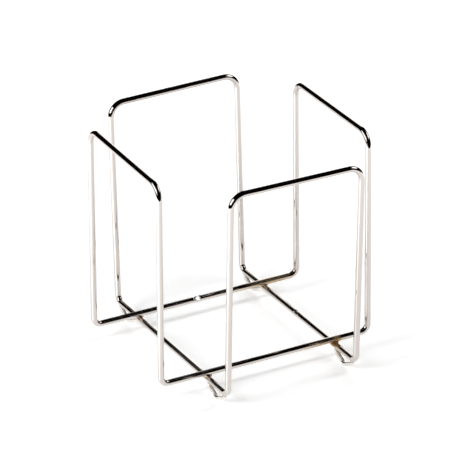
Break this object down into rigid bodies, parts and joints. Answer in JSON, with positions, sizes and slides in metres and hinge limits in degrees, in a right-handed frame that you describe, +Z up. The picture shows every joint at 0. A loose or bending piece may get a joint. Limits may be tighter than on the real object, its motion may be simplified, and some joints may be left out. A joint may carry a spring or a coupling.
{
  "type": "napkin holder",
  "caption": "Open-topped napkin holder of bent chrome wire: facing wire panels on crossed base bars keep a stack of folded napkins upright, on small bent wire feet.",
  "frame": {"origin": "on the table, under the middle of the holder's bounding box", "axes": "+Z up, +X to the right panel, +Y to the back panel"},
  "size_m": [0.1438, 0.1542, 0.1444],
  "materials": {
    "frame_chrome": "bright chrome plate over drawn steel wire",
    "foot_chrome": "bright chrome plate over thin drawn steel wire",
    "weld_metal": "plated weld metal with a brown heat tint"
  },
  "bodies": {
    "root": {"upper_frame_wire": "frame_chrome", "lower_frame_wire": "frame_chrome", "upper_butt_weld": "weld_metal", "lower_butt_weld": "weld_metal", "foot_front_left": "foot_chrome", "foot_front_right": "foot_chrome", "foot_back_left": "foot_chrome", "foot_back_right": "foot_chrome", "crossing_weld_front_left": "weld_metal", "crossing_weld_front_right": "weld_metal", "crossing_weld_back_left": "weld_metal", "crossing_weld_back_right": "weld_metal", "foot_weld_inner_front_left": "weld_metal", "foot_weld_inner_front_right": "weld_metal", "foot_weld_inner_back_left": "weld_metal", "foot_weld_inner_back_right": "weld_metal", "foot_weld_outer_front_left": "weld_metal", "foot_weld_outer_front_right": "weld_metal", "foot_weld_outer_back_left": "weld_metal", "foot_weld_outer_back_right": "weld_metal"}
  },
  "joints": []
}
